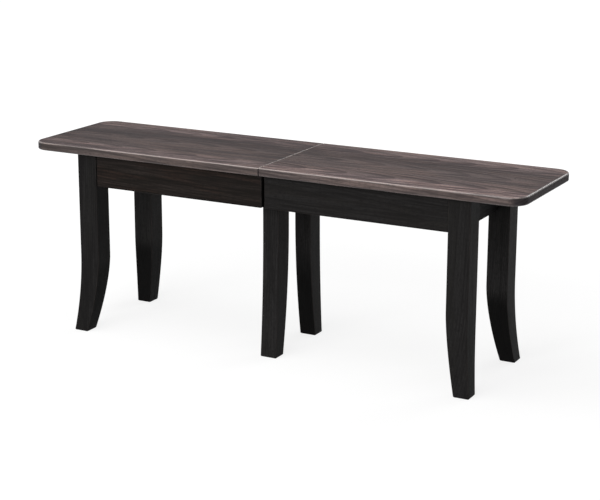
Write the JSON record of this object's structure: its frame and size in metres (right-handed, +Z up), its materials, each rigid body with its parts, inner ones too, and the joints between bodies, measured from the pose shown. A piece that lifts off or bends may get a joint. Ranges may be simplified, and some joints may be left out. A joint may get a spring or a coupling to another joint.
{
  "type": "extendable bench",
  "caption": "Extending dining bench: a two-part plank seat on sabre legs that parts at the middle on a geared wooden slide over fixed centre legs.",
  "frame": {"origin": "on the floor under the middle of the closed seat", "axes": "+X along the seat to the right as seen from the front, -Y to the front, +Z up"},
  "size_m": [1.219, 0.312, 0.447],
  "materials": {
    "seat_wood": "grey-brown stained, satin",
    "base_wood": "near-black stained, satin",
    "block_wood": "plain sanded",
    "slide_wood": "waxed",
    "brass": "yellow-plated",
    "zinc_steel": "bright zinc",
    "nylon": "matt"
  },
  "bodies": {
    "centre_frame": {"centre_front_leg": "base_wood", "centre_back_leg": "base_wood", "left_cross_rail": "block_wood", "right_cross_rail": "block_wood", "cradle_bolts": "zinc_steel", "cradle_washers": "zinc_steel", "cradle_nuts": "zinc_steel", "centre_runner": "slide_wood", "centre_runner_screws": "brass", "stop_pins": "zinc_steel", "pinion_axle": "zinc_steel"},
    "left_half": {"left_seat_panel": "seat_wood", "left_front_apron": "base_wood", "left_back_apron": "base_wood", "left_end_apron": "base_wood", "left_front_leg": "base_wood", "left_back_leg": "base_wood", "left_corner_blocks": "block_wood", "left_cleats": "block_wood", "left_hanger_bolts": "zinc_steel", "left_hanger_washers": "zinc_steel", "left_hanger_nuts": "zinc_steel", "left_block_screws": "brass", "left_cleat_screws": "brass", "left_slide_runner": "slide_wood", "left_runner_screws": "brass", "left_rack": "zinc_steel", "table_pins": "brass", "latch_plates": "zinc_steel", "latch_plate_screws": "brass"},
    "right_half": {"right_seat_panel": "seat_wood", "right_front_apron": "base_wood", "right_back_apron": "base_wood", "right_end_apron": "base_wood", "right_front_leg": "base_wood", "right_back_leg": "base_wood", "right_corner_blocks": "block_wood", "right_cleats": "block_wood", "right_hanger_bolts": "zinc_steel", "right_hanger_washers": "zinc_steel", "right_hanger_nuts": "zinc_steel", "right_block_screws": "brass", "right_cleat_screws": "brass", "right_slide_runner": "slide_wood", "right_runner_screws": "brass", "right_rack": "zinc_steel", "latch_keepers": "zinc_steel", "latch_keeper_screws": "brass"},
    "pinion": {"pinion": "nylon"},
    "front_latch": {"front_latch_lever": "zinc_steel"},
    "back_latch": {"back_latch_lever": "zinc_steel"}
  },
  "joints": [
    {"name": "left_slide", "type": "slide", "parent": "centre_frame", "child": "left_half", "axis": [-1, 0, 0], "range_m": [0, 0.305]},
    {"name": "right_slide", "type": "slide", "parent": "centre_frame", "child": "right_half", "axis": [1, 0, 0], "range_m": [0, 0.305]},
    {"name": "pinion_spin", "type": "hinge", "parent": "centre_frame", "child": "pinion", "pos_m": [0, 0, 0.411], "axis": [0, 0, 1], "range_deg": [-1249, 0]},
    {"name": "front_latch_turn", "type": "hinge", "parent": "left_half", "child": "front_latch", "pos_m": [-0.026, -0.0925, 0.4253], "axis": [0, 0, -1], "range_deg": [0, 90]},
    {"name": "back_latch_turn", "type": "hinge", "parent": "left_half", "child": "back_latch", "pos_m": [-0.026, 0.0925, 0.4253], "axis": [0, 0, 1], "range_deg": [0, 90]}
  ],
  "couplings": [
    {"joint": "right_slide", "follows": "left_slide", "ratio": 1},
    {"joint": "pinion_spin", "follows": "left_slide", "rad_per_m": -71.429}
  ]
}
